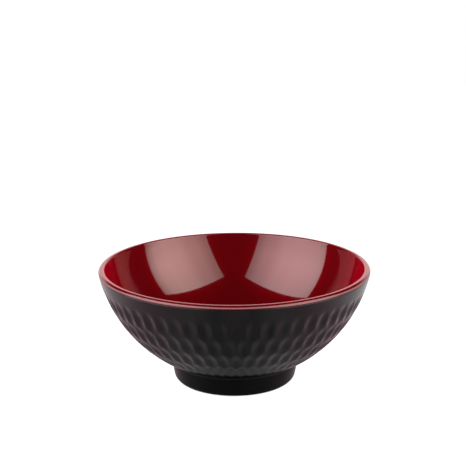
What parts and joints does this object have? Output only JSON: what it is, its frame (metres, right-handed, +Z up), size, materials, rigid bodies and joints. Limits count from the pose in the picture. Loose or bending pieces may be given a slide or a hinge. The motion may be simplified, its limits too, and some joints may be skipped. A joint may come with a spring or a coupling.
{
  "type": "bowl",
  "caption": "Round moulded bowl with a glossy red liner that wraps over the rim of a matt black shell with staggered hollows, on a raised foot ring.",
  "frame": {"origin": "on the table, on the bowl's axis", "axes": "+Z up along the bowl's axis, -Y towards the side that the picture shows"},
  "size_m": [0.18, 0.18, 0.0781],
  "materials": {
    "shell": "matt",
    "liner": "gloss"
  },
  "bodies": {
    "root": {"outer_shell": "shell", "inner_liner": "liner"}
  },
  "joints": []
}
